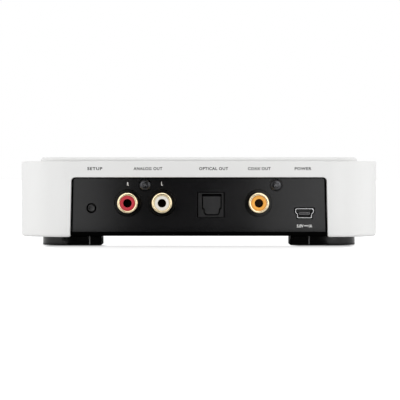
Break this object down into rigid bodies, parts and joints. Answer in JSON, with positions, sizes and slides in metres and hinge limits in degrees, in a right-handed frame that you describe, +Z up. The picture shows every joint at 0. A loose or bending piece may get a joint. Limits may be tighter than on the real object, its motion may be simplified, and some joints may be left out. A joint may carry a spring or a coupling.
{
  "type": "wireless audio streamer",
  "caption": "Low square box with rounded corners that streams audio: phono, optical and coaxial outputs, a setup button and a power socket on a set-back rear panel.",
  "frame": {"origin": "under the middle of the whole object, on the surface that the feet stand on", "axes": "+Z up, -Y out of the rear panel towards the plugs, +X to the right when the panel is looked at"},
  "size_m": [0.1428, 0.146, 0.0352],
  "materials": {
    "white_shell_plastic": "satin gloss moulded white",
    "black_plastic": "fine matt moulded black",
    "black_socket_plastic": "smooth black nylon",
    "black_screw": "black passivated steel",
    "zinc_screw": "zinc plated steel",
    "foot_rubber": "hard black rubber",
    "gold_plating": "polished gold plating on brass",
    "red_plastic": "gloss red",
    "white_plastic": "gloss white",
    "orange_plastic": "gloss orange",
    "contact_bronze": "tin bronze strip",
    "nickel_plating": "bright nickel plated steel",
    "circuit_board": "green solder mask on glass epoxy",
    "chip_epoxy": "matt black epoxy",
    "screening_steel": "tinned steel",
    "capacitor_can": "bright aluminium can",
    "clear_acrylic": "clear acrylic"
  },
  "bodies": {
    "body": {"shell": "white_shell_plastic", "top_cover": "white_shell_plastic", "base_plate": "black_plastic", "rear_panel": "black_plastic", "panel_screws": "black_screw", "base_screws": "black_screw", "foot_rear_left": "foot_rubber", "foot_rear_right": "foot_rubber", "foot_front_left": "foot_rubber", "foot_front_right": "foot_rubber", "analog_jack_housing": "black_socket_plastic", "coax_jack_housing": "black_socket_plastic", "red_jack_sleeve": "gold_plating", "white_jack_sleeve": "gold_plating", "orange_jack_sleeve": "gold_plating", "red_jack_insert": "red_plastic", "white_jack_insert": "white_plastic", "orange_jack_insert": "orange_plastic", "jack_contacts": "contact_bronze", "optical_housing": "black_socket_plastic", "optical_emitter": "clear_acrylic", "flap_pin": "zinc_screw", "flap_spring": "zinc_screw", "usb_shell": "nickel_plating", "usb_tongue": "black_socket_plastic", "usb_contacts": "gold_plating", "switch_body": "black_socket_plastic", "switch_dome": "contact_bronze", "main_board": "circuit_board", "board_screws": "zinc_screw", "wifi_board": "circuit_board", "wifi_shield": "screening_steel", "processor": "chip_epoxy", "memory_chip": "chip_epoxy", "dac_chip": "chip_epoxy", "crystal": "screening_steel", "inductor": "chip_epoxy", "output_capacitors": "capacitor_can", "supply_capacitor": "capacitor_can", "status_led": "clear_acrylic", "light_pipe": "clear_acrylic"},
    "button": {"setup_button": "black_socket_plastic"},
    "flap": {"optical_flap": "black_socket_plastic"}
  },
  "joints": [
    {"name": "button_press", "type": "slide", "parent": "body", "child": "button", "axis": [0, 1, 0], "range_m": [0, 0.0005], "stiffness_N_per_m": 400, "springref_m": -0.0005},
    {"name": "flap_swing", "type": "hinge", "parent": "body", "child": "flap", "pos_m": [0.0051, -0.06325, 0.019], "axis": [1, 0, 0], "range_deg": [0, 85], "stiffness_Nm_per_rad": 0.0002, "springref_deg": -17.19}
  ]
}
